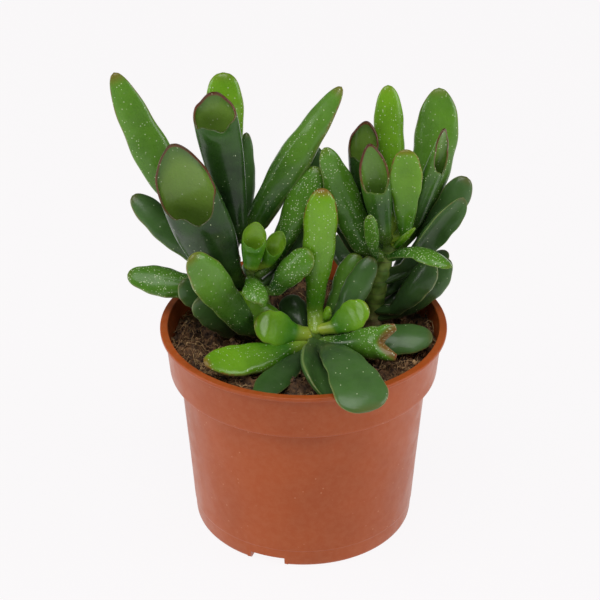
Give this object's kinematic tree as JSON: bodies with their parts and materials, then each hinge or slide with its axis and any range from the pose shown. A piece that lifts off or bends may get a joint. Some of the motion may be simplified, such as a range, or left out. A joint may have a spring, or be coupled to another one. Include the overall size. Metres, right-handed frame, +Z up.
{
  "type": "potted jade plant",
  "caption": "Jade plant with long fleshy leaves, some rolled into horns, growing in soil in a round terracotta-coloured plastic nursery pot.",
  "frame": {"origin": "centre of the pot's flat base, on the surface that the pot stands on", "axes": "+Z up along the pot's axis, -Y towards the front, +X to the right seen from the front"},
  "size_m": [0.1459, 0.1263, 0.1956],
  "materials": {
    "terracotta_plastic": "satin moulded polypropylene",
    "peat": "rough, damp, fibrous",
    "green_bark": "smooth young bark",
    "leaf_flesh": "waxy satin"
  },
  "bodies": {
    "root": {"big_horn_leaf": "leaf_flesh", "curled_leaf": "leaf_flesh", "front_bud_leaf": "leaf_flesh", "front_drooping_leaf": "leaf_flesh", "front_horn_leaf": "leaf_flesh", "front_left_leaf": "leaf_flesh", "front_low_leaf_1": "leaf_flesh", "front_low_leaf_2": "leaf_flesh", "front_rear_leaf_1": "leaf_flesh", "front_rear_leaf_2": "leaf_flesh", "front_right_leaf": "leaf_flesh", "front_rim_leaf": "leaf_flesh", "front_round_leaf_1": "leaf_flesh", "front_round_leaf_2": "leaf_flesh", "front_round_leaf_3": "leaf_flesh", "front_stem": "green_bark", "front_tall_leaf": "leaf_flesh", "left_back_leaf_1": "leaf_flesh", "left_back_leaf_2": "leaf_flesh", "left_bud_leaf": "leaf_flesh", "left_horn_leaf": "leaf_flesh", "left_long_leaf": "leaf_flesh", "left_low_leaf_1": "leaf_flesh", "left_low_leaf_2": "leaf_flesh", "left_outer_leaf": "leaf_flesh", "left_rear_leaf_1": "leaf_flesh", "left_rear_leaf_2": "leaf_flesh", "left_side_leaf": "leaf_flesh", "left_stem": "green_bark", "left_tall_leaf": "leaf_flesh", "middle_bud_leaf_1": "leaf_flesh", "middle_bud_leaf_2": "leaf_flesh", "middle_low_leaf": "leaf_flesh", "middle_rear_leaf": "leaf_flesh", "middle_stem": "green_bark", "pot": "terracotta_plastic", "potting_soil": "peat", "right_arched_leaf": "leaf_flesh", "right_back_leaf_1": "leaf_flesh", "right_back_leaf_2": "leaf_flesh", "right_broad_leaf": "leaf_flesh", "right_bud_leaf": "leaf_flesh", "right_folded_leaf": "leaf_flesh", "right_horn_leaf": "leaf_flesh", "right_low_leaf_1": "leaf_flesh", "right_low_leaf_2": "leaf_flesh", "right_low_leaf_3": "leaf_flesh", "right_pinched_leaf": "leaf_flesh", "right_rear_leaf_1": "leaf_flesh", "right_rear_leaf_2": "leaf_flesh", "right_round_leaf": "leaf_flesh", "right_side_leaf": "leaf_flesh", "right_small_leaf": "leaf_flesh", "right_speckled_leaf": "leaf_flesh", "right_stem": "green_bark", "right_tall_leaf": "leaf_flesh", "speckled_leaf": "leaf_flesh", "speckled_side_leaf": "leaf_flesh"}
  },
  "joints": []
}
